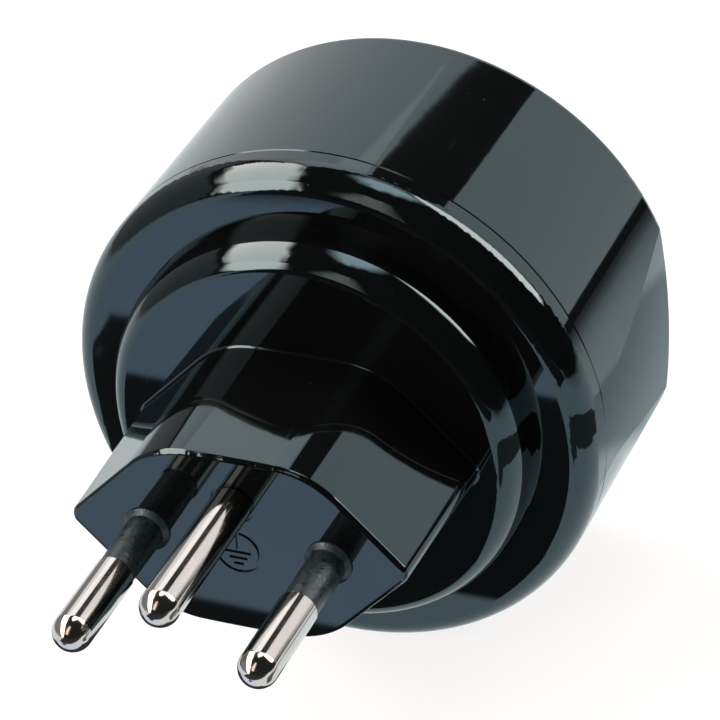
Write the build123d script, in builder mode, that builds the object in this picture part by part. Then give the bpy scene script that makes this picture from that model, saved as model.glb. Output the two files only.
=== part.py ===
from build123d import *
import os
from math import atan2, cos, degrees, pi, sin, sqrt, tan

# Travel adapter: a flat three-pin plug in front, a round earthed socket behind.
# Millimetres. The origin is midway between the line and neutral pin axes, on the
# plug face. The pins point towards -Y, the socket opens towards +Y, +Z is up and
# the earth pin stands above the other two.

# Plug pins, by the standard
pin_diameter = 4.0
pin_length = 19.0
pin_spacing = 19.0
earth_rise = 5.0
sleeve_length = 7.5
sleeve_diameter = 3.88
sleeve_tip_diameter = 3.7
neck_diameter = 3.0
sleeve_depth = 1.6
sleeve_base_diameter = 4.84
sleeve_base_rise = 0.4
sleeve_base_round = 0.22
sleeve_base_depth = 0.5
earth_relief_length = 0.4
earth_relief_diameter = 3.88
earth_seat_diameter = 4.6
earth_seat_depth = 0.2

# Plug nose
nose_half_width = 18.0
nose_half_top = 8.25
nose_half_height = 9.9
nose_crown = 0.15
nose_top_round = 9.0
nose_side_round = 1.3
nose_inner_round = 0.4
nose_flare = 0.45
nose_length = 17.6
nose_edge_round = 0.45
nose_root_round = 0.25

# Collar and shoulder, the two round steps behind the nose; their front edges are
# rounded further along the adapter than across it
collar_land = 1.08
collar_round = 2.2
collar_round_length = 4.2
collar_length = 5.0
collar_wall = 2.68
shoulder_radius = 27.8
shoulder_round = 2.25
shoulder_round_length = 3.2
shoulder_length = 4.7

# Socket barrel
barrel_taper = 0.35
rim_round = 1.0
rim_thickness = 2.0
seam_chamfer = 0.12
cavity_overrun = 1.0
wall = 2.0

# Hand grips: shallow facets on both sides, how far they lie inside the barrel's
# radius and how strongly they are crowned, at the front, near the seam and at the rim
grip_front_sink = 0.1
grip_front_crown = 31.0
grip_middle_sink = 0.32
grip_middle_crown = 45.0
grip_middle_depth = 12.0
grip_rear_sink = 1.25
grip_rear_crown = 84.0
grip_cut_margin = 6.0

# Socket recess
recess_diameter = 39.5
recess_depth = 17.5
recess_wall = 1.8
recess_lead = 0.8
pivot_cover_gap = 0.2
floor_thickness = 2.3
socket_hole_diameter = 5.6
socket_hole_lead = 0.4
guide_rib_width = 5.0
guide_rib_height = 2.4
guide_rib_gap = 2.5
pocket_width = 9.2
pocket_depth = 0.8
pocket_margin = 1.6

# Engraved earth symbol under the earth pin
symbol_radius = 2.4
symbol_line = 0.32
symbol_depth = 0.2
symbol_drop = 0.8
symbol_bar = 2.76
symbol_bar_taper = 0.86
symbol_bar_step = 0.67

# Pins inside the housing
face_thickness = 3.0
pin_boss_length = 8.0
pin_boss_radius = 3.4
pin_root_radius = 2.2
pin_shoulder_radius = 3.0
earth_shoulder_radius = 2.65
pin_shoulder_length = 1.6
tail_radius = 1.5
rivet_radius = 2.0
rivet_height = 0.6
rivet_top_radius = 1.4
pin_step_slope = 0.15
sleeve_end_chamfer = 0.1
fit_gap = 0.02

# Live contacts
contact_base = 0.8
contact_bore_radius = 2.3
contact_wall = 0.6
contact_cover_gap = 0.5
contact_slot = 0.7
contact_flare = 0.4
contact_flare_length = 1.2
ring_width = 1.5
ring_wall = 0.38
ring_split = 0.9
ring_from_mouth = 2.0
contact_slot_start = 1.5

# Earth bracket
strap_thickness = 0.8
strap_wall_gap = 0.35
strap_width = 7.6
strap_eye_radius = 4.2
strap_eye_gap = 0.25
strap_bend = 1.6
strap_collar_gap = 0.7
strap_bow = 2.0
strap_bow_start = 1.5
strap_bow_front = 7.6
strap_bow_rear = 11.4
strap_end_outset = 0.9
strap_end_margin = 2.5
strap_slot_gap = 0.4
strap_slot_spare = 1.95

# Contact carrier
carrier_thickness = 1.5
carrier_strap_gap = 0.4
carrier_tube_bore = 3.6
carrier_tube_wall = 0.8
carrier_tube_rise = 1.8
carrier_gap = 0.3
carrier_screw_place = 10.0

# Shutter behind the pin holes
rotor_gap = 0.2
rotor_thickness = 3.2
rotor_hub_radius = 5.9
rotor_wing_radius = 13.3
rotor_wing_half_width = 3.6
rotor_ramp_depth = 2.3
rotor_flat_land = 0.8
rotor_ramp_start = 5.9
rotor_stop_gap = 0.1
stop_peg_radius = 1.0
stop_peg_x = 11.2
stop_peg_rise = 0.5
rotor_opening = 42.0
pivot_radius = 3.0
pivot_running_gap = 0.05
spring_mean_radius = 4.5
spring_wire = 0.44
spring_leg = 0.5
spring_turns = 2
spring_pocket_gap = 0.35
spring_pocket_depth = 2.3
leg_short = 0.35
leg_slot_gap = 0.2
leg_slot_spare = 3.0
coil_end_gap = 0.05
cover_carrier_gap = 1.05
cover_gap = 0.3
cover_thickness = 1.2
cover_strap_gap = 1.0
cover_post_radius = 2.2
cover_post_place = 11.5

# Screws
centre_screw_radius = 1.25
centre_screw_head = 2.4
centre_screw_head_height = 1.5
centre_screw_sunk = 0.4
centre_screw_end = 11.0
centre_screw_spare = 0.8
centre_boss_radius = 2.25
boss_meeting_gap = 0.05
small_screw_radius = 0.9
small_screw_head = 1.75
small_screw_head_height = 0.9
small_screw_length = 4.2
small_screw_spare = 0.3
drive_slot = 0.6
tip_share = 0.6
tip_taper = 0.7
head_edge_share = 0.55
head_top_share = 0.72
drive_reach = 1.15
lip_gap = 0.15
lip_wall = 1.4
lip_length = 1.8
lip_root = 1.0
lip_root_slope = 0.4
screw_gap = 0.15

# Depths along the adapter, counted from the plug face
shoulder_depth = nose_length + collar_length
seam_depth = shoulder_depth + shoulder_length
strap_front = nose_length + wall + strap_wall_gap
strap_rear = strap_front + strap_thickness
earth_rivet_rear = strap_rear + rivet_height
carrier_front = earth_rivet_rear + carrier_gap
carrier_rear = carrier_front + carrier_thickness
carrier_tube_rear = carrier_rear + carrier_tube_rise
cover_front = carrier_tube_rear + cover_carrier_gap
cover_rear = cover_front + cover_thickness
rotor_front = cover_rear + cover_gap
rotor_rear = rotor_front + rotor_thickness
floor_front = rotor_rear + rotor_gap
floor_depth = floor_front + floor_thickness
total_depth = floor_depth + recess_depth
boss_rear = face_thickness + pin_boss_length
shoulder_rear = boss_rear + pin_shoulder_length
contact_mouth = cover_front - contact_cover_gap
contact_length = contact_mouth - shoulder_rear
centre_boss_rear = cover_rear - cover_gap
screw_seat = floor_depth - centre_screw_sunk - centre_screw_head_height

# Radii and offsets that follow
pin_radius = pin_diameter / 2
sleeve_radius = sleeve_diameter / 2
sleeve_tip_radius = sleeve_tip_diameter / 2
sleeve_base_radius = sleeve_base_diameter / 2
neck_radius = neck_diameter / 2
earth_relief_radius = earth_relief_diameter / 2
pin_x = pin_spacing / 2
recess_radius = recess_diameter / 2
recess_outer = recess_radius + recess_wall
collar_radius = nose_half_width + nose_flare + nose_root_round + collar_land + collar_round
rim_radius = shoulder_radius - barrel_taper
strap_leg_outer = collar_radius - collar_wall - strap_collar_gap
strap_leg_inner = strap_leg_outer - strap_thickness
strap_leg_centre = (strap_leg_outer + strap_leg_inner) / 2
carrier_radius = strap_leg_inner - carrier_strap_gap
cover_radius = strap_leg_inner - cover_strap_gap
contact_outer = contact_bore_radius + contact_wall
nose_slope = atan2(nose_half_height, nose_half_width - nose_half_top)
live_places = ((-pin_x, 0), (pin_x, 0))
all_places = live_places + ((0, earth_rise),)
carrier_screw_places = (
    (carrier_screw_place, carrier_screw_place), (-carrier_screw_place, -carrier_screw_place))
cover_post_places = ((0, cover_post_place), (0, -cover_post_place))


def section(depth):
    """Plane across the adapter at this depth, with X and Z as its own axes."""
    return Plane.XZ.offset(-depth)


def length_axis(x, z):
    """Axis along the adapter through this place."""
    return Axis((x, 0, z), (0, 1, 0))


def turned(points, x=0, z=0, mode=Mode.ADD):
    """Turn a closed outline of (radius, depth) points about the axis at x, z."""
    with BuildSketch(Plane(origin=(x, 0, z))) as outline:
        Polygon(*points, align=None)
    revolve(outline.sketch, axis=length_axis(x, z), mode=mode)


def column(places, radius, front, rear, mode=Mode.ADD):
    """Round columns along the adapter between two depths."""
    with BuildSketch(section(front)) as circles:
        with Locations(*places):
            Circle(radius)
    extrude(circles.sketch, amount=front - rear, mode=mode)


def slab(width, height, front, rear, centre=(0, 0), mode=Mode.ADD):
    """Rectangular block between two depths, centred on a place."""
    with BuildSketch(section(front)) as outline:
        with Locations(centre):
            Rectangle(width, height)
    extrude(outline.sketch, amount=front - rear, mode=mode)


def nose_outline(grow):
    """Six-sided plug outline, larger by grow all round, with a crowned top and bottom."""
    side = nose_half_width + grow / sin(nose_slope)
    top = nose_half_height + grow
    corner = nose_half_top + grow * tan(nose_slope / 2)
    with BuildLine() as outline:
        ThreePointArc((-corner, top), (0, top + nose_crown), (corner, top))
        Polyline((corner, top), (side, 0), (corner, -top))
        ThreePointArc((corner, -top), (0, -top - nose_crown), (-corner, -top))
        Polyline((-corner, -top), (-side, 0), (-corner, top))
    make_face(outline.edges())
    points = vertices().group_by(Axis.Y)
    fillet(points[0] + points[-1], radius=nose_top_round + grow)
    tips = [v for v in vertices() if abs(v.Y) < 0.001]
    fillet(tips, radius=max(nose_side_round + grow, nose_inner_round))


def grip_cutter(inset):
    """Material outside the two hand grips, which lie further in by inset."""
    outer = shoulder_radius + grip_cut_margin
    reach = shoulder_radius / 2
    stations = (
        (shoulder_depth, shoulder_radius - grip_front_sink, grip_front_crown),
        (shoulder_depth + grip_middle_depth, shoulder_radius - grip_middle_sink, grip_middle_crown),
        (total_depth, rim_radius - grip_rear_sink, grip_rear_crown))
    with BuildPart() as cutter:
        for side in (1, -1):
            for depth, middle, crown in stations:
                edge = middle - crown + sqrt(crown ** 2 - reach ** 2) - inset
                with BuildSketch(section(depth)):
                    with BuildLine():
                        ThreePointArc(
                            (side * edge, -reach), (side * (middle - inset), 0), (side * edge, reach))
                        Polyline(
                            (side * edge, reach), (side * outer, reach), (side * outer, -reach),
                            (side * edge, -reach))
                    make_face()
            loft()
    return cutter.part


def engraved_earth_symbol():
    """Circle with the stem and three bars of the earth sign, cut into the plug face."""
    with BuildSketch(section(0)) as symbol:
        with Locations((0, -symbol_drop)):
            Circle(symbol_radius)
            Circle(symbol_radius - symbol_line, mode=Mode.SUBTRACT)
            with Locations((0, symbol_radius / 2)):
                Rectangle(symbol_line, symbol_radius)
            for row in range(3):
                with Locations((0, -row * symbol_bar_step)):
                    Rectangle(symbol_bar - row * symbol_bar_taper, symbol_line)
    extrude(symbol.sketch, amount=-symbol_depth, mode=Mode.SUBTRACT)


def cross_recess(places, surface, depth, reach):
    """Cross for a screwdriver, sunk from the surface by depth, which may be negative."""
    for x, z in places:
        for width, height in ((drive_slot, reach), (reach, drive_slot)):
            slab(width, height, min(surface, surface - depth), max(surface, surface - depth),
                 centre=(x, z), mode=Mode.SUBTRACT)


def screws(places, seat, way, radius, length, head, head_height):
    """Pan-head screws with heads on the seat, pointing rearward for way 1, forward for -1."""
    tip = seat + way * length
    top = seat - way * head_height
    for x, z in places:
        turned([
            (0, tip), (radius * tip_share, tip), (radius, tip - way * radius * tip_taper),
            (radius, seat), (head, seat), (head, seat - way * head_height * head_edge_share),
            (head * head_top_share, top), (0, top)], x, z)
    cross_recess(places, top, -way * head_height * head_edge_share, head * drive_reach)


def save(builder, name):
    """Label a finished piece and write its file."""
    builder.part.label = name
    export_step(builder.part, f"parts/{name}.step")


os.makedirs("parts", exist_ok=True)

# Plug housing: nose, collar and shoulder in one moulding

with BuildPart() as plug_cavity:
    turned([
        (0, nose_length + wall), (collar_radius - collar_wall, nose_length + wall),
        (collar_radius - collar_wall, shoulder_depth + wall), (shoulder_radius - wall, shoulder_depth + wall),
        (shoulder_radius - wall, seam_depth + cavity_overrun), (0, seam_depth + cavity_overrun)])
    add(grip_cutter(wall), mode=Mode.SUBTRACT)
    with BuildSketch(section(face_thickness)):
        nose_outline(-wall)
    extrude(amount=face_thickness - nose_length - wall)

with BuildPart() as lip:
    lip_outer = shoulder_radius - wall - lip_gap
    turned([
        (lip_outer - lip_wall, shoulder_depth + wall), (shoulder_radius - wall, shoulder_depth + wall),
        (shoulder_radius - wall, seam_depth - lip_root),
        (lip_outer, seam_depth - lip_root + lip_root_slope),
        (lip_outer, seam_depth + lip_length), (lip_outer - lip_wall, seam_depth + lip_length)])
    add(grip_cutter(wall + lip_gap), mode=Mode.SUBTRACT)

with BuildPart() as plug_housing:
    with BuildSketch():
        with BuildLine():
            collar_flat = collar_radius - collar_round
            collar_side = nose_length + collar_round_length
            shoulder_flat = shoulder_radius - shoulder_round
            shoulder_side = shoulder_depth + shoulder_round_length
            Polyline((0, seam_depth), (0, nose_length), (collar_flat, nose_length))
            EllipticalCenterArc(
                (collar_flat, collar_side), collar_round, collar_round_length, start_angle=-90, arc_size=90)
            Polyline((collar_radius, collar_side), (collar_radius, shoulder_depth), (shoulder_flat, shoulder_depth))
            EllipticalCenterArc(
                (shoulder_flat, shoulder_side), shoulder_round, shoulder_round_length, start_angle=-90, arc_size=90)
            Polyline(
                (shoulder_radius, shoulder_side), (shoulder_radius, seam_depth - seam_chamfer),
                (shoulder_radius - seam_chamfer, seam_depth), (0, seam_depth))
        make_face()
    revolve(axis=Axis.Y)
    with BuildSketch(section(0)):
        nose_outline(0)
    with BuildSketch(section(nose_length)):
        nose_outline(nose_flare)
    loft(ruled=True)
    collar_face = faces().filter_by(Axis.Y).filter_by_position(
        Axis.Y, nose_length - 0.01, nose_length + 0.01)[0]
    fillet(collar_face.inner_wires()[0].edges(), radius=nose_root_round)
    fillet(faces().sort_by(Axis.Y)[0].edges(), radius=nose_edge_round)
    add(grip_cutter(0), mode=Mode.SUBTRACT)
    add(plug_cavity.part, mode=Mode.SUBTRACT)
    add(lip.part)
    column(all_places, pin_boss_radius, face_thickness, boss_rear)
    column([(0, 0)], centre_boss_radius, face_thickness, centre_boss_rear)
    column(carrier_screw_places, cover_post_radius, nose_length + wall, carrier_front)
    column(live_places, sleeve_base_radius + fit_gap, 0, sleeve_base_depth, mode=Mode.SUBTRACT)
    column([(0, earth_rise)], earth_seat_diameter / 2, 0, earth_seat_depth, mode=Mode.SUBTRACT)
    column(all_places, pin_radius + fit_gap, 0, sleeve_depth, mode=Mode.SUBTRACT)
    column(all_places, pin_root_radius + fit_gap, sleeve_depth, boss_rear, mode=Mode.SUBTRACT)
    column([(0, 0)], centre_screw_radius + fit_gap,
           centre_screw_end - centre_screw_spare, centre_boss_rear, mode=Mode.SUBTRACT)
    column(carrier_screw_places, small_screw_radius + fit_gap,
           carrier_rear - small_screw_length - small_screw_spare, carrier_front, mode=Mode.SUBTRACT)
    engraved_earth_symbol()
save(plug_housing, "plug_housing")

# Socket housing: barrel, rim and earthed recess in one moulding

with BuildPart() as socket_cavity:
    turned([
        (0, seam_depth - cavity_overrun), (shoulder_radius - wall, seam_depth - cavity_overrun),
        (shoulder_radius - wall, seam_depth), (rim_radius - wall, total_depth - rim_thickness),
        (recess_outer, total_depth - rim_thickness), (recess_outer, floor_front), (0, floor_front)])
    add(grip_cutter(wall), mode=Mode.SUBTRACT)

with BuildPart() as socket_housing:
    turned([
        (0, seam_depth), (shoulder_radius - seam_chamfer, seam_depth),
        (shoulder_radius, seam_depth + seam_chamfer), (rim_radius, total_depth), (0, total_depth)])
    add(grip_cutter(0), mode=Mode.SUBTRACT)
    fillet(faces().sort_by(Axis.Y)[-1].edges(), radius=rim_round)
    add(socket_cavity.part, mode=Mode.SUBTRACT)
    column([(0, 0)], recess_radius, floor_depth, total_depth, mode=Mode.SUBTRACT)
    fillet(faces().sort_by(Axis.Y)[-1].inner_wires()[0].edges(), radius=recess_lead)
    slot_near = strap_leg_inner - strap_slot_gap
    slot_far = strap_leg_outer + strap_slot_spare
    for side in (1, -1):
        slab(guide_rib_height + pocket_depth, guide_rib_width, floor_depth, total_depth - guide_rib_gap,
             centre=(side * (recess_radius + (pocket_depth - guide_rib_height) / 2), 0))
        slab(pocket_width, slot_far - slot_near, floor_front, total_depth - pocket_margin,
             centre=(0, side * (slot_near + slot_far) / 2), mode=Mode.SUBTRACT)
        column([(side * stop_peg_x, -side * (rotor_wing_half_width + rotor_stop_gap + stop_peg_radius))],
               stop_peg_radius, rotor_front + stop_peg_rise, floor_front)
    column([(0, 0)], pivot_radius, centre_boss_rear + boss_meeting_gap, floor_front)
    column(cover_post_places, cover_post_radius, cover_rear, floor_front)
    column(live_places, socket_hole_diameter / 2, floor_front, floor_depth, mode=Mode.SUBTRACT)
    hole_edges = edges().filter_by(GeomType.CIRCLE).filter_by_position(
        Axis.Y, floor_depth - 0.01, floor_depth + 0.01)
    chamfer([e for e in hole_edges if abs(e.radius - socket_hole_diameter / 2) < 0.01],
            length=socket_hole_lead)
    column([(0, 0)], centre_screw_head + screw_gap, screw_seat, floor_depth, mode=Mode.SUBTRACT)
    column([(0, 0)], centre_screw_radius + screw_gap, centre_boss_rear, screw_seat, mode=Mode.SUBTRACT)
    column(cover_post_places, small_screw_radius + fit_gap, cover_rear,
           cover_front + small_screw_length + small_screw_spare, mode=Mode.SUBTRACT)
save(socket_housing, "socket_housing")

# Live pins with their sleeves, contacts and spring rings

for side, name in ((1, "line"), (-1, "neutral")):
    x = side * pin_x

    with BuildPart() as live_pin:
        with BuildSketch(Plane(origin=(x, 0, 0))):
            with BuildLine():
                CenterArc((0, pin_radius - pin_length), pin_radius, -90, 90)
                Polyline(
                    (pin_radius, pin_radius - pin_length), (pin_radius, -sleeve_length - pin_step_slope),
                    (pin_radius - pin_step_slope, -sleeve_length), (neck_radius, -sleeve_length),
                    (neck_radius, sleeve_depth), (pin_root_radius, sleeve_depth),
                    (pin_root_radius, boss_rear),
                    (pin_shoulder_radius, boss_rear), (pin_shoulder_radius, shoulder_rear),
                    (tail_radius, shoulder_rear), (tail_radius, shoulder_rear + contact_base),
                    (rivet_radius, shoulder_rear + contact_base),
                    (rivet_top_radius, shoulder_rear + contact_base + rivet_height),
                    (0, shoulder_rear + contact_base + rivet_height), (0, -pin_length))
            make_face()
        revolve(axis=length_axis(x, 0))
    save(live_pin, f"{name}_pin")

    with BuildPart() as sleeve:
        turned([
            (neck_radius + fit_gap, -sleeve_length),
            (sleeve_tip_radius - sleeve_end_chamfer, -sleeve_length),
            (sleeve_tip_radius, -sleeve_length + sleeve_end_chamfer),
            (sleeve_radius, -sleeve_base_rise - sleeve_base_round),
            (sleeve_base_radius - sleeve_base_round, -sleeve_base_rise),
            (sleeve_base_radius, -sleeve_base_rise + sleeve_base_round),
            (sleeve_base_radius, sleeve_base_depth - fit_gap), (sleeve_radius, sleeve_base_depth - fit_gap),
            (sleeve_radius, sleeve_depth), (neck_radius + fit_gap, sleeve_depth)], x)
    save(sleeve, f"{name}_pin_sleeve")

    with BuildPart() as contact:
        throat = contact_mouth - contact_flare_length
        turned([
            (tail_radius + fit_gap, shoulder_rear), (contact_outer, shoulder_rear),
            (contact_outer, throat), (contact_outer + contact_flare, contact_mouth),
            (contact_bore_radius + contact_flare, contact_mouth), (contact_bore_radius, throat),
            (contact_bore_radius, shoulder_rear + contact_base),
            (tail_radius + fit_gap, shoulder_rear + contact_base)], x)
        with BuildSketch(section(shoulder_rear + contact_base + contact_slot_start)):
            with Locations((x, 0)):
                for turn in (45, -45):
                    Rectangle(4 * contact_outer, contact_slot, rotation=turn)
        extrude(amount=contact_base + contact_slot_start - contact_length, mode=Mode.SUBTRACT)
    save(contact, f"{name}_contact")

    with BuildPart() as ring:
        ring_rear = contact_mouth - ring_from_mouth
        ring_inner = contact_outer + fit_gap
        turned([
            (ring_inner, ring_rear - ring_width), (ring_inner + ring_wall, ring_rear - ring_width),
            (ring_inner + ring_wall, ring_rear), (ring_inner, ring_rear)], x)
        slab(ring_inner, ring_split, ring_rear - ring_width, ring_rear,
             centre=(x + side * ring_inner, 0), mode=Mode.SUBTRACT)
    save(ring, f"{name}_contact_ring")

# Earth pin

with BuildPart() as earth_pin:
    with BuildSketch(Plane(origin=(0, 0, earth_rise))):
        with BuildLine():
            CenterArc((0, pin_radius - pin_length), pin_radius, -90, 90)
            Polyline(
                (pin_radius, pin_radius - pin_length), (pin_radius, -earth_relief_length),
                (earth_relief_radius, sleeve_depth),
                (pin_root_radius, sleeve_depth), (pin_root_radius, boss_rear),
                (earth_shoulder_radius, boss_rear), (earth_shoulder_radius, shoulder_rear),
                (pin_radius, shoulder_rear), (pin_radius, strap_front), (tail_radius, strap_front),
                (tail_radius, strap_rear), (rivet_radius, strap_rear),
                (rivet_top_radius, earth_rivet_rear), (0, earth_rivet_rear), (0, -pin_length))
        make_face()
    revolve(axis=length_axis(0, earth_rise))
save(earth_pin, "earth_pin")

# Earth bracket: one strip across the housing with a sprung clip at each end

with BuildPart() as earth_bracket:
    strap_middle = (strap_front + strap_rear) / 2
    with BuildLine() as strip_path:
        FilletPolyline(
            (strap_middle, 0), (strap_middle, strap_leg_centre),
            (floor_depth + strap_bow_start, strap_leg_centre),
            (floor_depth + strap_bow_front, strap_leg_centre - strap_bow),
            (floor_depth + strap_bow_rear, strap_leg_centre - strap_bow),
            (total_depth - strap_end_margin, strap_leg_centre + strap_end_outset), radius=strap_bend)
    with BuildSketch(Plane.YZ) as strip:
        trace(strip_path.edges(), line_width=strap_thickness)
    extrude(amount=strap_width / 2, both=True)
    mirror(about=Plane.XY)
    column([(0, 0)], strap_eye_radius, strap_front, strap_rear)
    column([(0, 0)], centre_boss_radius + strap_eye_gap, strap_front, strap_rear, mode=Mode.SUBTRACT)
    column([(0, earth_rise)], tail_radius + fit_gap, strap_front, strap_rear, mode=Mode.SUBTRACT)
save(earth_bracket, "earth_bracket")

# Contact carrier: keeps the two live contacts apart and over the earth bracket

with BuildPart() as contact_carrier:
    column([(0, 0)], carrier_radius, carrier_front, carrier_rear)
    column(live_places, carrier_tube_bore + carrier_tube_wall, carrier_rear, carrier_tube_rear)
    column(live_places, carrier_tube_bore, carrier_front, carrier_tube_rear, mode=Mode.SUBTRACT)
    column([(0, 0)], centre_boss_radius + strap_eye_gap, carrier_front, carrier_rear, mode=Mode.SUBTRACT)
    column(carrier_screw_places, small_screw_radius + screw_gap, carrier_front, carrier_rear,
           mode=Mode.SUBTRACT)
save(contact_carrier, "contact_carrier")

with BuildPart() as carrier_screws:
    screws(carrier_screw_places, carrier_rear, -1, small_screw_radius, small_screw_length,
           small_screw_head, small_screw_head_height)
save(carrier_screws, "carrier_screws")

# Shutter spring: a torsion coil round the pivot, one leg forward and one rearward

coil_gap = spring_wire / 2 + coil_end_gap
coil_pitch = (spring_pocket_depth - 2 * coil_gap) / spring_turns
coil_quarters = 4 * spring_turns


def coil_point(quarter):
    """Where the coil's centre line is after so many quarter turns."""
    angle = quarter * pi / 2
    return Vector(
        spring_mean_radius * sin(angle), rotor_front + coil_gap + coil_pitch * quarter / 4,
        spring_mean_radius * cos(angle))


def coil_heading(quarter):
    """Which way the centre line runs there."""
    angle = quarter * pi / 2
    return Vector(
        spring_mean_radius * cos(angle), coil_pitch / (2 * pi),
        -spring_mean_radius * sin(angle)).normalized()


def two_arcs(start, start_heading, end, end_heading):
    """Two arcs that meet smoothly, with these headings at their far ends."""
    chord = end - start
    along = chord.dot(start_heading + end_heading)
    spread = 2 * (1 - start_heading.dot(end_heading))
    reach = (sqrt(along ** 2 + spread * chord.dot(chord)) - along) / spread
    middle = (start + end + (start_heading - end_heading) * reach) * 0.5
    first = TangentArc(start, middle, tangent=start_heading)
    TangentArc(middle, end, tangent=first % 1)


coil_start = coil_point(0)
coil_end = coil_point(coil_quarters)
with BuildPart() as shutter_spring:
    with BuildLine():
        for quarter in range(coil_quarters):
            two_arcs(coil_point(quarter), coil_heading(quarter),
                     coil_point(quarter + 1), coil_heading(quarter + 1))
    with BuildSketch(Plane(origin=coil_start, z_dir=coil_heading(0))):
        Circle(spring_wire / 2)
    sweep()
    column([(coil_start.X, coil_start.Z)], spring_leg / 2, cover_front, coil_start.Y + spring_leg / 2)
    column([(coil_end.X, coil_end.Z)], spring_leg / 2, coil_end.Y - spring_leg / 2, rotor_rear - leg_short)
save(shutter_spring, "shutter_spring")

# Shutter rotor: two ramped wings that hide the live contacts until both pins press

with BuildLine() as leg_path:
    leg_angle = degrees(atan2(coil_end.Z, coil_end.X))
    CenterArc((0, 0), spring_mean_radius, leg_angle - rotor_opening - leg_slot_spare,
              rotor_opening + 2 * leg_slot_spare)

with BuildPart() as shutter_rotor:
    with BuildSketch(section(rotor_front)):
        Rectangle(2 * rotor_wing_radius, 2 * rotor_wing_half_width)
        Circle(rotor_wing_radius, mode=Mode.INTERSECT)
        Circle(rotor_hub_radius)
    extrude(amount=-rotor_thickness)
    for side in (1, -1):
        with BuildSketch(Plane.YZ.offset(side * rotor_ramp_start)):
            with BuildLine():
                Polyline(
                    (rotor_rear, side * (rotor_wing_half_width - rotor_flat_land)),
                    (rotor_rear - rotor_ramp_depth, -side * rotor_wing_half_width),
                    (rotor_rear, -side * rotor_wing_half_width), close=True)
            make_face()
        extrude(amount=side * (rotor_wing_radius - rotor_ramp_start), mode=Mode.SUBTRACT)
    coil_outer = spring_mean_radius + spring_wire / 2 + spring_pocket_gap
    coil_inner = spring_mean_radius - spring_wire / 2 - spring_pocket_gap
    with BuildSketch(section(rotor_front)):
        Circle(coil_outer)
        Circle(coil_inner, mode=Mode.SUBTRACT)
    extrude(amount=-spring_pocket_depth, mode=Mode.SUBTRACT)
    with BuildSketch(section(rotor_front)):
        SlotArc(leg_path.edge(), spring_leg + leg_slot_gap)
    extrude(amount=leg_short - rotor_thickness - leg_slot_gap, mode=Mode.SUBTRACT)
    column([(0, 0)], pivot_radius + pivot_running_gap, rotor_front, rotor_rear, mode=Mode.SUBTRACT)
save(shutter_rotor, "shutter_rotor")

# Shutter cover: keeps the rotor on its pivot

with BuildPart() as shutter_cover:
    column([(0, 0)], cover_radius, cover_front, cover_rear)
    column([(0, 0)], pivot_radius + pivot_cover_gap, cover_front, cover_rear, mode=Mode.SUBTRACT)
    column(live_places, socket_hole_diameter / 2 + pivot_cover_gap, cover_front, cover_rear,
           mode=Mode.SUBTRACT)
    column(cover_post_places, small_screw_radius + screw_gap, cover_front, cover_rear, mode=Mode.SUBTRACT)
    column([(coil_start.X, coil_start.Z)], spring_leg / 2 + fit_gap, cover_front, cover_rear,
           mode=Mode.SUBTRACT)
save(shutter_cover, "shutter_cover")

with BuildPart() as cover_screws:
    screws(cover_post_places, cover_front, 1, small_screw_radius, small_screw_length,
           small_screw_head, small_screw_head_height)
save(cover_screws, "cover_screws")

# Housing screw: through the socket floor and the pivot into the plug housing

with BuildPart() as housing_screw:
    screws([(0, 0)], screw_seat, -1, centre_screw_radius, screw_seat - centre_screw_end,
           centre_screw_head, centre_screw_head_height)
save(housing_screw, "housing_screw")
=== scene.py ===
from math import cos, radians, sin

import bmesh
import bpy
from mathutils import Matrix, Vector


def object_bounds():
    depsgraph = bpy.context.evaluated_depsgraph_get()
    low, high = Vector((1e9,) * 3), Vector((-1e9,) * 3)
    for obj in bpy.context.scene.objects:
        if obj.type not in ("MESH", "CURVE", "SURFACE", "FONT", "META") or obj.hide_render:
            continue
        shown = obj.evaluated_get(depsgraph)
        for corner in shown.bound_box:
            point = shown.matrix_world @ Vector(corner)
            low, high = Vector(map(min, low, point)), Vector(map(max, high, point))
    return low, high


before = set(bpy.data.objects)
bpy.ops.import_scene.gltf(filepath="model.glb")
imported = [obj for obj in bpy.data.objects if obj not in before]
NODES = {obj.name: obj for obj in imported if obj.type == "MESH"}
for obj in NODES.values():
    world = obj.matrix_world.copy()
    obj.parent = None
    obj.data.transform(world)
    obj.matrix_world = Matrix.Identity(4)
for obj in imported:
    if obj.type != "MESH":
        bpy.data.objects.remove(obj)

# Travel adapter on a pale table: a flat three-pin plug in front (-Y), an earthed
# socket behind (+Y), in glossy black plastic with nickel-plated pins. Metres.

CAD_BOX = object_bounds()
MM = 0.001
MICRON = 1e-6

# The photograph's view
VIEW_AZIMUTH = 24.87
VIEW_ELEVATION = 34.01
VIEW_ROLL = -4.85
VIEW_DISTANCE = 480.5 * MM
VIEW_TARGET = Vector((0, 15 * MM, 0))
VIEW_SHIFT_RIGHT = 6.10 * MM
VIEW_SHIFT_UP = 9.61 * MM
VIEW_CLIP_START = 0.01
FRAME_PIXELS = 720
FOCAL_PIXELS = 4903.8
SENSOR_WIDTH = 36.0

# Table: its size, its grey for matt light, what the camera sees of it, and its glow in gloss
TABLE_TOP = CAD_BOX[0][2]
TABLE_RADIUS = 0.42
TABLE_CLEAR_RADIUS = 0.16
TABLE_MATT = 0.82
TABLE_WHITE = 0.82
TABLE_SHADOWED = 0.25
TABLE_SHINE = 0.95
PALE = (0.92, 0.99, 1.0)
# Colour of a painted bluish light on the table's front left, as gloss sees it
PAINTED_BLUE_LIGHT = (0.86, 0.94, 1.16)

# Studio cards
CARD_DISTANCE = 1.2
CARD_CORNER_SEGMENTS = 6
FLAG_DISTANCE = 5.0
FLAG_LEVEL = 0.03
FLAG_FADE = 0.003
NEUTRAL = (1.0, 1.0, 1.0)
WARM = (1.28, 1.0, 0.87)
# Tint of the painted shade on the table behind the object
DEEP_BLUE = (0.78, 0.95, 1.0)
ECHO = 0.2
ECHO_DEPTHS = (1.2, 1.8)

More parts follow.
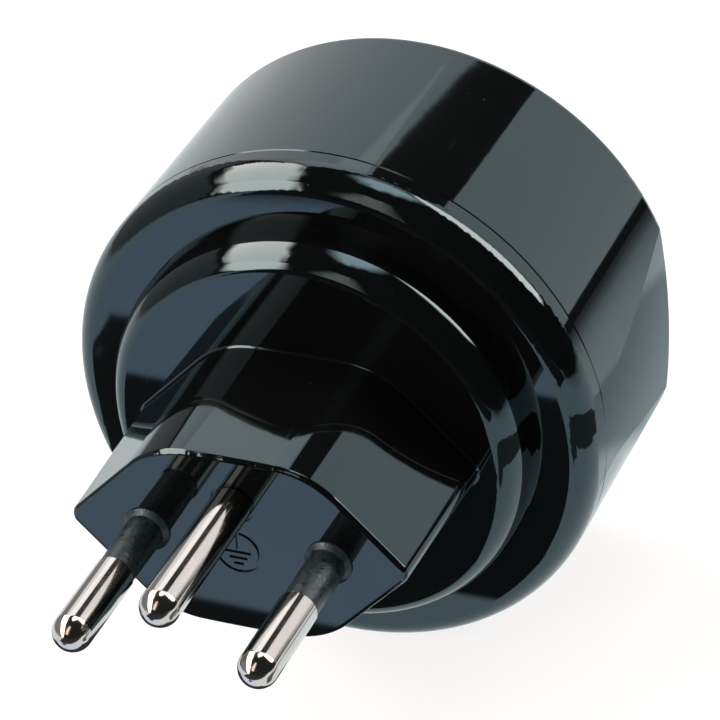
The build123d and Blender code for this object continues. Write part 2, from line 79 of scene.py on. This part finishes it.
# Dark room, open behind the object between two azimuths and up to an elevation
ROOM_RADIUS = 12.0
ROOM_LEVEL = 0.02
ROOM_COLOUR = (0.9, 1.0, 1.0)
OPENING_LEFT = -139.5
OPENING_RIGHT = 136
OPENING_TOP = 52

# Even light from the world on matt surfaces
DAYLIGHT = (0.94, 0.97, 1.0)
DAYLIGHT_LEVEL = 0.3

# Shared effects
MIDDLE = 0.5
FINE_PER_PIT = 2.3
EDGE_TURN = (0.995, 0.86)
WEAR_PATCHES = (0.35, 0.65)
LINE_BORDER = 0.08
FEW_SPECKS = (0.7, 1.0)
FACING_UP = (0.1, 0.8)
DUST_COLOUR = (0.32, 0.33, 0.34)
DUST_ROUGHNESS = 0.7


def direction(azimuth, elevation):
    """Unit vector towards a place round the object: azimuth 0 is the plug's side, 90 is +X."""
    a = radians(azimuth)
    e = radians(elevation)
    return Vector((sin(a) * cos(e), -cos(a) * cos(e), sin(e)))


def place_camera():
    """Camera at the photograph's angle, distance and framing."""
    back = direction(VIEW_AZIMUTH, VIEW_ELEVATION)
    level = Vector((cos(radians(VIEW_AZIMUTH)), sin(radians(VIEW_AZIMUTH)), 0))
    rise = back.cross(level)
    roll = radians(VIEW_ROLL)
    right = level * cos(roll) + rise * sin(roll)
    up = rise * cos(roll) - level * sin(roll)
    target = VIEW_TARGET + right * VIEW_SHIFT_RIGHT + up * VIEW_SHIFT_UP
    camera = bpy.data.objects.new("camera", bpy.data.cameras.new("camera"))
    bpy.context.scene.collection.objects.link(camera)
    camera.data.sensor_width = SENSOR_WIDTH
    camera.data.lens = FOCAL_PIXELS / FRAME_PIXELS * SENSOR_WIDTH
    camera.data.clip_start = VIEW_CLIP_START
    camera.matrix_world = Matrix.Translation(target + back * VIEW_DISTANCE) @ Matrix(
        (right, up, back)).transposed().to_4x4()
    bpy.context.scene.camera = camera


def new_object(name, bm):
    """Object from a bmesh, in the scene."""
    mesh = bpy.data.meshes.new(name)
    bm.to_mesh(mesh)
    bm.free()
    obj = bpy.data.objects.new(name, mesh)
    bpy.context.scene.collection.objects.link(obj)
    return obj


# Nodes

def node(tree, kind, inputs=None, **settings):
    """Shader node with its settings, and a link or a plain value on each input that is given."""
    made = tree.nodes.new("ShaderNode" + kind)
    for name, value in settings.items():
        setattr(made, name, value)
    for socket, value in (inputs or {}).items():
        if isinstance(value, bpy.types.NodeSocket):
            tree.links.new(value, made.inputs[socket])
        else:
            made.inputs[socket].default_value = value
    return made


def math(tree, operation, first, second, clamp=False):
    """Sum, product or other operation on two sockets or numbers."""
    return node(tree, "Math", {0: first, 1: second}, operation=operation, use_clamp=clamp).outputs[0]


def remap(tree, value, low, high, to_low=0.0, to_high=1.0):
    """Value carried smoothly from one range to another."""
    made = node(tree, "MapRange", {
        "Value": value, "From Min": low, "From Max": high, "To Min": to_low, "To Max": to_high},
        interpolation_type="SMOOTHSTEP")
    return made.outputs["Result"]


def mix_shaders(tree, mask, first, second):
    """First shader where the mask is 0, second where it is 1."""
    return node(tree, "MixShader", {"Fac": mask, 1: first, 2: second}).outputs[0]


def mirrored_rays(tree, path):
    """1 for what gloss or glass shows of the surroundings, and 0 for the rest."""
    return math(tree, "MAXIMUM", path.outputs["Is Glossy Ray"], path.outputs["Is Transmission Ray"])


def grey(level):
    """Plain grey as a colour."""
    return level, level, level, 1


def empty_material(name):
    """Material with an output and nothing else."""
    material = bpy.data.materials.new(name)
    material.use_nodes = True
    tree = material.node_tree
    tree.nodes.clear()
    return material, tree, node(tree, "OutputMaterial")


# Studio

def card_material(name, strength, colour):
    """Even glow that fades to clear over the card's border, and is dim in a reflection of a reflection."""
    material, tree, output = empty_material(name)
    border = node(tree, "Attribute", attribute_name="glow").outputs["Fac"]
    depth = node(tree, "LightPath").outputs["Glossy Depth"]
    clear = node(tree, "BsdfTransparent").outputs[0]
    level = remap(tree, depth, *ECHO_DEPTHS, strength, strength * ECHO)
    glow = node(tree, "Emission", {"Color": (*colour, 1), "Strength": level}).outputs[0]
    shown = mix_shaders(tree, remap(tree, border, 0.0, 1.0), clear, glow)
    tree.links.new(shown, output.inputs["Surface"])
    return material


def card_from_points(name, points, strength, fade, rounding, colour=NEUTRAL, lights=True):
    """Flat card through these points, with rounded corners and a soft border, seen by gloss alone
    or lighting the object too."""
    bm = bmesh.new()
    glow = bm.verts.layers.float.new("glow")
    face = bm.faces.new([bm.verts.new(p) for p in points])
    if rounding:
        bmesh.ops.bevel(
            bm, geom=list(face.verts), offset=rounding, offset_type="ABSOLUTE", affect="VERTICES",
            segments=CARD_CORNER_SEGMENTS, profile=0.5, clamp_overlap=True, material=-1)
    ring = bmesh.ops.inset_region(
        bm, faces=list(bm.faces), thickness=fade, use_boundary=True, use_even_offset=True)
    for vert in bm.verts:
        vert[glow] = 1.0
    for quad in ring["faces"]:
        for vert in quad.verts:
            if vert.is_boundary:
                vert[glow] = 0.0
    bmesh.ops.triangulate(bm, faces=bm.faces)
    card = new_object(name, bm)
    card.data.materials.append(card_material(name, strength, colour))
    card.visible_camera = False
    card.visible_diffuse = lights
    card.visible_shadow = False


def card(name, corners, strength, fade=0.03, rounding=0.04, distance=CARD_DISTANCE, **settings):
    """Card that the object sees at these azimuths and elevations."""
    ways = [direction(a, e) for a, e in corners]
    centre = sum(ways, Vector()).normalized()
    points = [w * (distance / w.dot(centre)) for w in ways]
    card_from_points(name, points, strength, fade * distance, rounding * distance, **settings)


def flag(name, corners):
    """Black flag with clean edges, far enough away to look the same from every part."""
    card(name, corners, FLAG_LEVEL, FLAG_FADE, 0.0, FLAG_DISTANCE, lights=False)


def table_shade(name, corners, strength=0.04, fade=3.0, rounding=5.0, colour=NEUTRAL, lift=0.2):
    """Patch on the table, in millimetres, that only gloss sees; it makes the dark cloth, the painted
    shadow and shade, and the painted bluish light.
    """
    height = TABLE_TOP + lift * MM
    points = [Vector((x * MM, y * MM, height)) for x, y in corners]
    card_from_points(name, points, strength, fade * MM, rounding * MM, colour, lights=False)


def dark_room():
    """Dim walls, which only gloss sees, open to the white backdrop behind the object."""
    bm = bmesh.new()
    bmesh.ops.create_uvsphere(bm, u_segments=60, v_segments=45, radius=ROOM_RADIUS)
    lid = Vector((0, sin(radians(OPENING_TOP)), -cos(radians(OPENING_TOP))))
    cuts = (direction(OPENING_LEFT - 90, 0), direction(OPENING_RIGHT + 90, 0), lid)
    for cut in cuts:
        bmesh.ops.bisect_plane(
            bm, geom=bm.verts[:] + bm.edges[:] + bm.faces[:], plane_co=(0, 0, 0), plane_no=cut)
    opening = []
    for wall in bm.faces:
        middle = wall.calc_center_median()
        if all(middle.dot(cut) > 0 for cut in cuts):
            opening.append(wall)
    bmesh.ops.delete(bm, geom=opening, context="FACES")
    room = new_object("dark_room", bm)
    material, tree, output = empty_material("dark_room")
    glow = node(tree, "Emission", {"Color": (*ROOM_COLOUR, 1), "Strength": ROOM_LEVEL}).outputs[0]
    tree.links.new(glow, output.inputs["Surface"])
    room.data.materials.append(material)
    room.visible_camera = False
    room.visible_diffuse = False
    room.visible_shadow = False


def studio():
    """Softboxes round the object, a faint fill at the left that only gloss sees, dark flags and strips
    behind, and dark cloth, painted shade and a painted bluish light on the table."""
    card("key_softbox", [
        (-42, 53), (-40, 44), (-44, 31), (-52, 23), (-58, 26), (-66, 31.5), (-80, 34), (-95, 35),
        (-110, 33), (-120, 30.5), (-126, 26), (-133, 30), (-138, 38), (-143, 45), (-143, 52),
        (-134, 58), (-120, 63), (-105, 67), (-85, 68), (-72, 66), (-60, 62.5), (-51, 59)],
        strength=5.6, fade=0.09, rounding=0.05, colour=WARM)
    card("key_tongue", [
        (-34, 48), (-30, 40), (-27.5, 35), (-26, 30), (-24.7, 25), (-23.8, 20), (-23, 15), (-22.7, 10),
        (-23.5, 5), (-25, 0), (-27, -6), (-30, -8.5), (-35, -2.5), (-39.5, 3), (-43.5, 8.5), (-46.5, 13),
        (-50, 17.5), (-56, 24), (-62, 30), (-62, 42), (-46, 50)],
        strength=6.2, fade=0.085, rounding=0.05, colour=WARM)
    card("slim_softbox", [
        (-19, 15), (0, 13), (7, 36), (13, 52), (16, 64), (-14, 64), (-17, 52), (-20, 38)],
        strength=1.2, fade=0.15, rounding=0.08, colour=WARM)
    card("overhead_softbox", [
        (150, 53), (165, 50.5), (180, 50), (-168, 52), (-156, 60), (-150, 70), (-140, 84), (120, 86),
        (132, 70), (142, 60)],
        strength=3.2, fade=0.17, rounding=0.05)
    card("right_softbox", [
        (133.5, 12), (134.5, 20), (136.5, 25.5), (142, 34.5), (148, 41), (157, 46.5), (168, 50), (161, 56),
        (144, 56), (127, 49), (118, 39), (115, 24), (122, 13)],
        strength=6.9, fade=0.06, rounding=0.04, distance=1.3, colour=WARM)
    card("back_softbox", [(-170, 35), (-146, 33.5), (-142, 50), (-168, 51)],
         strength=1.4, fade=0.04, rounding=0.0, distance=4.0, lights=False)
    card("left_fill", [
        (-38, -8), (-100, -7), (-139, -6), (-139, 26), (-125, 24), (-98, 34), (-66, 30.5), (-56, 23.5),
        (-46, 12), (-40, 3)],
        strength=0.24, fade=0.05, lights=False)
    flag("gap_flag", [(-171.5, 36.6), (163, 31), (161, 49), (-170, 49)])
    flag("rear_flag", [(130, -2.3), (154, -2.3), (154, -9.5), (130, -9.5)])
    card("rear_line", [(130, -5.2), (154, -5.2), (154, -7.6), (130, -7.6)],
         strength=0.14, fade=0.006, rounding=0.0, distance=4.8, lights=False)
    card("rear_shade", [(126, -6.5), (158, -6.5), (158, -17), (126, -17)],
         strength=0.03, fade=0.07, rounding=0.0, distance=5.1, lights=False)
    # Painted shadow of the object: a dark patch under it on the table, seen only in gloss, because the
    # table's glow there casts no shadow of its own.
    table_shade("shade_under", [
        (-49.5, -25.8), (15, -24), (20, 8), (14, 13), (-10, 13.5), (-30, 30), (-45, 30), (-47, -18)],
        fade=1.2, rounding=1.0)
    # Painted bluish light on the table in front of and left of the plug, seen only in gloss.
    table_shade("painted_blue_light", [(-80, -62), (10, -62), (10, -20), (-44, -24), (-80, -20)],
                strength=0.95, fade=5.0, colour=PAINTED_BLUE_LIGHT, lift=0.1)
    table_shade("shade_front", [
        (-50, -49), (60, -68), (260, -100), (260, -400), (-225, -400), (-110, -175)], fade=4.0)
    # Painted shade: a dark crescent on the table to the right of the object, seen only in gloss.
    table_shade("shade_right", [
        (22, -20), (40, -33), (60, -38), (85, -32), (105, -15), (113, 5), (112, 30), (105, 50), (90, 68),
        (75, 75), (66, 62), (72, 45), (72, 20), (66, 0), (53, -14), (40, -12), (30, -14)],
        strength=0.12, fade=3.5, rounding=0)
    # Painted shade: a dimmer, bluer patch on the table behind and right of the object, seen only in gloss.
    table_shade("shade_behind", [(5, 60), (60, 54), (76, 80), (70, 102), (40, 106), (5, 106)],
                strength=0.55, fade=7.0, colour=DEEP_BLUE)


def world_light():
    """White backdrop to the camera and to gloss, and a soft even room for matt surfaces."""
    world = bpy.data.worlds.new("room")
    bpy.context.scene.world = world
    world.use_nodes = True
    tree = world.node_tree
    tree.nodes.clear()
    path = node(tree, "LightPath")
    shown = math(tree, "MAXIMUM", path.outputs["Is Camera Ray"], mirrored_rays(tree, path))
    white = node(tree, "Background", {"Color": grey(1.0), "Strength": 1.0}).outputs[0]
    room = node(tree, "Background", {"Color": (*DAYLIGHT, 1), "Strength": DAYLIGHT_LEVEL}).outputs[0]
    output = node(tree, "OutputWorld")
    tree.links.new(mix_shaders(tree, shown, room, white), output.inputs["Surface"])


def table():
    """Pale round table top that keeps the object's shadow and fades out, so that no edge shows."""
    bm = bmesh.new()
    bmesh.ops.create_circle(bm, cap_ends=True, radius=TABLE_RADIUS, segments=96)
    bmesh.ops.translate(bm, verts=bm.verts, vec=(0, 0, TABLE_TOP))
    top = new_object("table", bm)
    material, tree, output = empty_material("pale_table")
    path = node(tree, "LightPath")
    place = node(tree, "TexCoord").outputs["Object"]
    away = node(tree, "VectorMath", {0: place}, operation="LENGTH").outputs["Value"]
    fade = remap(tree, away, TABLE_CLEAR_RADIUS, TABLE_RADIUS)
    matt = node(tree, "BsdfDiffuse", {"Color": grey(TABLE_MATT)}).outputs[0]
    shadowed = node(tree, "BsdfDiffuse", {"Color": grey(TABLE_SHADOWED)}).outputs[0]
    white = node(tree, "Emission", {"Color": grey(1.0), "Strength": TABLE_WHITE}).outputs[0]
    seen = node(tree, "AddShader", {0: shadowed, 1: white}).outputs[0]
    shine = node(tree, "Emission", {"Color": (*PALE, 1), "Strength": TABLE_SHINE}).outputs[0]
    clear = node(tree, "BsdfTransparent").outputs[0]
    surface = mix_shaders(tree, path.outputs["Is Camera Ray"], matt, seen)
    surface = mix_shaders(tree, mirrored_rays(tree, path), surface, shine)
    surface = mix_shaders(tree, fade, surface, clear)
    tree.links.new(surface, output.inputs["Surface"])
    top.data.materials.append(material)


# Effects that several finishes share

FLOAT = "NodeSocketFloat"
VECTOR = "NodeSocketVector"


def new_group(name, inputs, outputs):
    """Node group with named sockets, and its input and output nodes."""
    tree = bpy.data.node_groups.new(name, "ShaderNodeTree")
    for label, kind, value in inputs:
        socket = tree.interface.new_socket(name=label, in_out="INPUT", socket_type=kind)
        if value is not None:
            socket.default_value = value
    for label in outputs:
        tree.interface.new_socket(name=label, in_out="OUTPUT", socket_type=FLOAT)
    return tree, tree.nodes.new("NodeGroupInput").outputs, tree.nodes.new("NodeGroupOutput").inputs


def uneven_group():
    """Slow, cloudy variation, as in moulded plastic, plating and rolled strip."""
    tree, given, made = new_group("uneven", [
        ("Vector", VECTOR, None), ("Scale", FLOAT, 100.0), ("Contrast", FLOAT, 1.0)], ["Value"])
    cloud = node(tree, "TexNoise", {
        "Vector": given["Vector"], "Scale": given["Scale"], "Detail": 3.0, "Roughness": 0.55})
    away = math(tree, "MULTIPLY", math(tree, "SUBTRACT", cloud.outputs[0], MIDDLE), given["Contrast"])
    tree.links.new(math(tree, "ADD", away, MIDDLE, clamp=True), made["Value"])
    return tree


def grain_group():
    """Fine grain of a moulded or blasted surface: soft pits with finer roughness in them."""
    tree, given, made = new_group("fine_grain", [
        ("Vector", VECTOR, None), ("Scale", FLOAT, 2000.0), ("Fine", FLOAT, 0.35)], ["Height"])
    pits = node(tree, "TexVoronoi", {
        "Vector": given["Vector"], "Scale": given["Scale"], "Smoothness": 0.6}, feature="SMOOTH_F1")
    fine = node(tree, "TexNoise", {
        "Vector": given["Vector"], "Scale": math(tree, "MULTIPLY", given["Scale"], FINE_PER_PIT),
        "Detail": 4.0, "Roughness": 0.6})
    rough = math(tree, "MULTIPLY", fine.outputs[0], given["Fine"])
    tree.links.new(math(tree, "ADD", pits.outputs["Distance"], rough), made["Height"])
    return tree


def edge_wear_group():
    """Mask of the outer edges, broken up, where handling rubs a surface."""
    tree, given, made = new_group("edge_wear", [
        ("Vector", VECTOR, None), ("Radius", FLOAT, 0.0003), ("Break Up", FLOAT, 1500.0),
        ("Amount", FLOAT, 0.5)], ["Mask"])
    rounded = node(tree, "Bevel", {"Radius": given["Radius"]}, samples=4)
    here = node(tree, "NewGeometry")
    turn = node(tree, "VectorMath", {0: rounded.outputs[0], 1: here.outputs["Normal"]},
                operation="DOT_PRODUCT")
    edge = remap(tree, turn.outputs["Value"], *EDGE_TURN)
    spots = node(tree, "TexNoise", {
        "Vector": given["Vector"], "Scale": given["Break Up"], "Detail": 4.0, "Roughness": 0.65})
    broken = math(tree, "MULTIPLY", edge, remap(tree, spots.outputs[0], *WEAR_PATCHES))
    tree.links.new(math(tree, "MULTIPLY", broken, given["Amount"]), made["Mask"])
    return tree


def hairlines_group():
    """Fine lines along one direction: drawing and rolling marks in metal, wiping marks in plastic."""
    tree, given, made = new_group("hairlines", [
        ("Vector", VECTOR, None), ("Stretch", VECTOR, (1.0, 0.03, 1.0)), ("Scale", FLOAT, 6000.0),
        ("Sparse", FLOAT, 0.5)], ["Height", "Mask"])
    pulled = node(tree, "VectorMath", {0: given["Vector"], 1: given["Stretch"]}, operation="MULTIPLY")
    line = node(tree, "TexNoise", {
        "Vector": pulled.outputs[0], "Scale": given["Scale"], "Detail": 2.0, "Roughness": 0.5}).outputs[0]
    tree.links.new(line, made["Height"])
    full = math(tree, "ADD", given["Sparse"], LINE_BORDER)
    tree.links.new(remap(tree, line, given["Sparse"], full), made["Mask"])
    return tree


def dust_group():
    """Tiny settled specks on the surfaces that face up."""
    tree, given, made = new_group("dust", [
        ("Vector", VECTOR, None), ("Scale", FLOAT, 900.0), ("Size", FLOAT, 0.08), ("Amount", FLOAT, 0.5)],
        ["Mask"])
    specks = node(tree, "TexVoronoi", {"Vector": given["Vector"], "Scale": given["Scale"]}, feature="F1")
    round_speck = remap(tree, specks.outputs["Distance"], given["Size"], 0.0)
    pick = node(tree, "SeparateColor", {0: specks.outputs["Color"]})
    few = remap(tree, pick.outputs[0], *FEW_SPECKS)
    here = node(tree, "NewGeometry")
    facing = node(tree, "SeparateXYZ", {0: here.outputs["Normal"]})
    upward = remap(tree, facing.outputs["Z"], *FACING_UP)
    settled = math(tree, "MULTIPLY", math(tree, "MULTIPLY", round_speck, few), upward)
    tree.links.new(math(tree, "MULTIPLY", settled, given["Amount"]), made["Mask"])
    return tree


UNEVEN = uneven_group()
GRAIN = grain_group()
EDGE_WEAR = edge_wear_group()
HAIRLINES = hairlines_group()
DUST = dust_group()


# Finishes

def spaced(values):
    """Socket names as Blender spells them."""
    return {socket.replace("_", " "): value for socket, value in values.items()}


def effect(tree, group, place, **values):
    """A shared effect in this material, with its own values."""
    return node(tree, "Group", {"Vector": place, **spaced(values)}, node_tree=group).outputs


def blend_colour(tree, mask, first, second):
    """Colour between two, by a mask; the first may be a socket."""
    if isinstance(first, tuple):
        first = (*first, 1)
    return node(tree, "Mix", {"Factor": mask, 6: first, 7: (*second, 1)}, data_type="RGBA").outputs[2]


def blend_level(tree, mask, first, second):
    """Number between two, by a mask; the first may be a socket."""
    return node(tree, "Mix", {"Factor": mask, 2: first, 3: second}, data_type="FLOAT").outputs[0]


def finish(name, colour, cloud_colour, roughness, cloud_roughness, cloud, worn_colour, worn_roughness,
           wear, relief, lines=None, dust=None, **sockets):
    """Finish with cloudy colour and roughness, rubbed edges, relief, and optional lines and dust.

    cloud is (scale, contrast), wear is (radius, scale, amount), each relief is (kind, scale, depth),
    lines is (stretch, scale, sparse, depth, roughness) and dust is (scale, size, amount)."""
    material, tree, output = empty_material(name)
    shader = node(tree, "BsdfPrincipled", spaced(sockets))
    place = node(tree, "TexCoord").outputs["Object"]
    clouds = effect(tree, UNEVEN, place, Scale=cloud[0], Contrast=cloud[1])["Value"]
    tint = blend_colour(tree, clouds, colour, cloud_colour)
    matt = blend_level(tree, clouds, roughness, cloud_roughness)
    rubbed = effect(tree, EDGE_WEAR, place, Radius=wear[0], Break_Up=wear[1], Amount=wear[2])["Mask"]
    tint = blend_colour(tree, rubbed, tint, worn_colour)
    matt = blend_level(tree, rubbed, matt, worn_roughness)
    reliefs = [(effect(tree, GRAIN if kind == "grain" else UNEVEN, place, Scale=scale)[0], depth)
               for kind, scale, depth in relief]
    if lines:
        stretch, scale, sparse, depth, line_roughness = lines
        drawn = effect(tree, HAIRLINES, place, Stretch=stretch, Scale=scale, Sparse=sparse)
        matt = blend_level(tree, drawn["Mask"], matt, line_roughness)
        reliefs.append((drawn["Height"], depth))
    if dust:
        specks = effect(tree, DUST, place, Scale=dust[0], Size=dust[1], Amount=dust[2])["Mask"]
        tint = blend_colour(tree, specks, tint, DUST_COLOUR)
        matt = blend_level(tree, specks, matt, DUST_ROUGHNESS)
    facing = None
    for height, depth in reliefs:
        bump = node(tree, "Bump", {"Strength": 1.0, "Distance": depth, "Height": height})
        if facing:
            tree.links.new(facing, bump.inputs["Normal"])
        facing = bump.outputs[0]
    tree.links.new(tint, shader.inputs["Base Color"])
    tree.links.new(matt, shader.inputs["Roughness"])
    tree.links.new(facing, shader.inputs["Normal"])
    tree.links.new(shader.outputs[0], output.inputs["Surface"])
    return material


def dress(material, *names):
    """Give CAD nodes this material."""
    for name in names:
        slots = NODES[name].data.materials
        slots.clear()
        slots.append(material)


black_plastic = finish(
    "black_plastic",
    colour=(0.0014, 0.0016, 0.0017), roughness=0.03,
    cloud_colour=(0.002, 0.0023, 0.0025), cloud_roughness=0.055, cloud=(60, 2.0),
    worn_colour=(0.02, 0.022, 0.024), worn_roughness=0.16, wear=(0.25 * MM, 900, 0.35),
    relief=[("clouds", 90, 8 * MICRON)],
    lines=((1.0, 0.05, 0.3), 2600, 0.66, 0.05 * MICRON, 0.11),
    dust=(700, 0.07, 0.3), IOR=1.75, Specular_Tint=(0.58, 0.89, 1.0, 1))
nickel = finish(
    "nickel",
    colour=(0.68, 0.64, 0.61), roughness=0.07,
    cloud_colour=(0.63, 0.60, 0.575), cloud_roughness=0.13, cloud=(260, 2.5),
    worn_colour=(0.76, 0.72, 0.69), worn_roughness=0.2, wear=(0.2 * MM, 2500, 0.6),
    relief=[("clouds", 700, 3 * MICRON)],
    lines=((1.0, 0.02, 1.0), 5000, 0.6, 1.5 * MICRON, 0.16), Metallic=1.0)
sleeve = finish(
    "sleeve",
    colour=(0.005, 0.009, 0.010), roughness=0.26,
    cloud_colour=(0.014, 0.024, 0.026), cloud_roughness=0.46, cloud=(1700, 3.0),
    worn_colour=(0.03, 0.04, 0.042), worn_roughness=0.55, wear=(0.15 * MM, 2500, 0.3),
    relief=[("clouds", 1400, 85 * MICRON), ("clouds", 3800, 24 * MICRON), ("grain", 6000, 10 * MICRON)],
    dust=(1500, 0.09, 0.4), IOR=1.6, Specular_Tint=(0.62, 0.9, 1.0, 1))
brass = finish(
    "brass",
    colour=(0.80, 0.58, 0.28), roughness=0.22,
    cloud_colour=(0.70, 0.47, 0.20), cloud_roughness=0.38, cloud=(300, 2.5),
    worn_colour=(0.9, 0.72, 0.42), worn_roughness=0.18, wear=(0.2 * MM, 1800, 0.7),
    relief=[("grain", 5000, 5 * MICRON)],
    lines=((1.0, 0.04, 1.0), 4000, 0.55, 4 * MICRON, 0.42), Metallic=1.0)
spring_steel = finish(
    "spring_steel",
    colour=(0.55, 0.55, 0.56), roughness=0.2,
    cloud_colour=(0.42, 0.42, 0.44), cloud_roughness=0.36, cloud=(350, 2.5),
    worn_colour=(0.7, 0.7, 0.71), worn_roughness=0.16, wear=(0.12 * MM, 2500, 0.6),
    relief=[("grain", 7000, 3 * MICRON)],
    lines=((1.0, 1.0, 0.04), 5000, 0.55, 3 * MICRON, 0.4), Metallic=1.0)
plated_strip = finish(
    "plated_strip",
    colour=(0.72, 0.71, 0.69), roughness=0.24,
    cloud_colour=(0.62, 0.61, 0.59), cloud_roughness=0.4, cloud=(220, 2.5),
    worn_colour=(0.85, 0.84, 0.82), worn_roughness=0.18, wear=(0.2 * MM, 1600, 0.7),
    relief=[("grain", 6000, 4 * MICRON)],
    lines=((0.04, 1.0, 1.0), 4200, 0.55, 4 * MICRON, 0.45), Metallic=1.0)
screw_steel = finish(
    "screw_steel",
    colour=(0.60, 0.61, 0.62), roughness=0.26,
    cloud_colour=(0.50, 0.52, 0.55), cloud_roughness=0.42, cloud=(400, 2.5),
    worn_colour=(0.78, 0.78, 0.78), worn_roughness=0.2, wear=(0.1 * MM, 3000, 0.7),
    relief=[("grain", 8000, 4 * MICRON)], Metallic=1.0)
inner_plastic = finish(
    "inner_plastic",
    colour=(0.60, 0.59, 0.55), roughness=0.42,
    cloud_colour=(0.66, 0.65, 0.61), cloud_roughness=0.56, cloud=(160, 1.8),
    worn_colour=(0.74, 0.73, 0.70), worn_roughness=0.6, wear=(0.25 * MM, 1400, 0.5),
    relief=[("grain", 3200, 12 * MICRON)], dust=(900, 0.06, 0.3))
shutter_plastic = finish(
    "shutter_plastic",
    colour=(0.018, 0.020, 0.022), roughness=0.34,
    cloud_colour=(0.026, 0.028, 0.030), cloud_roughness=0.46, cloud=(200, 2.0),
    worn_colour=(0.07, 0.072, 0.075), worn_roughness=0.5, wear=(0.2 * MM, 1500, 0.5),
    relief=[("grain", 3600, 12 * MICRON)],
    lines=((1.0, 1.0, 0.06), 2600, 0.66, 0.5 * MICRON, 0.3))

dress(black_plastic, "plug_housing", "socket_housing")
dress(nickel, "line_pin", "neutral_pin", "earth_pin")
dress(sleeve, "line_pin_sleeve", "neutral_pin_sleeve")
dress(brass, "line_contact", "neutral_contact")
dress(spring_steel, "line_contact_ring", "neutral_contact_ring", "shutter_spring")
dress(plated_strip, "earth_bracket")
dress(screw_steel, "carrier_screws", "cover_screws", "housing_screw")
dress(inner_plastic, "contact_carrier", "shutter_cover")
dress(shutter_plastic, "shutter_rotor")

place_camera()
world_light()
table()
dark_room()
studio()
bpy.context.scene.view_settings.view_transform = "Standard"
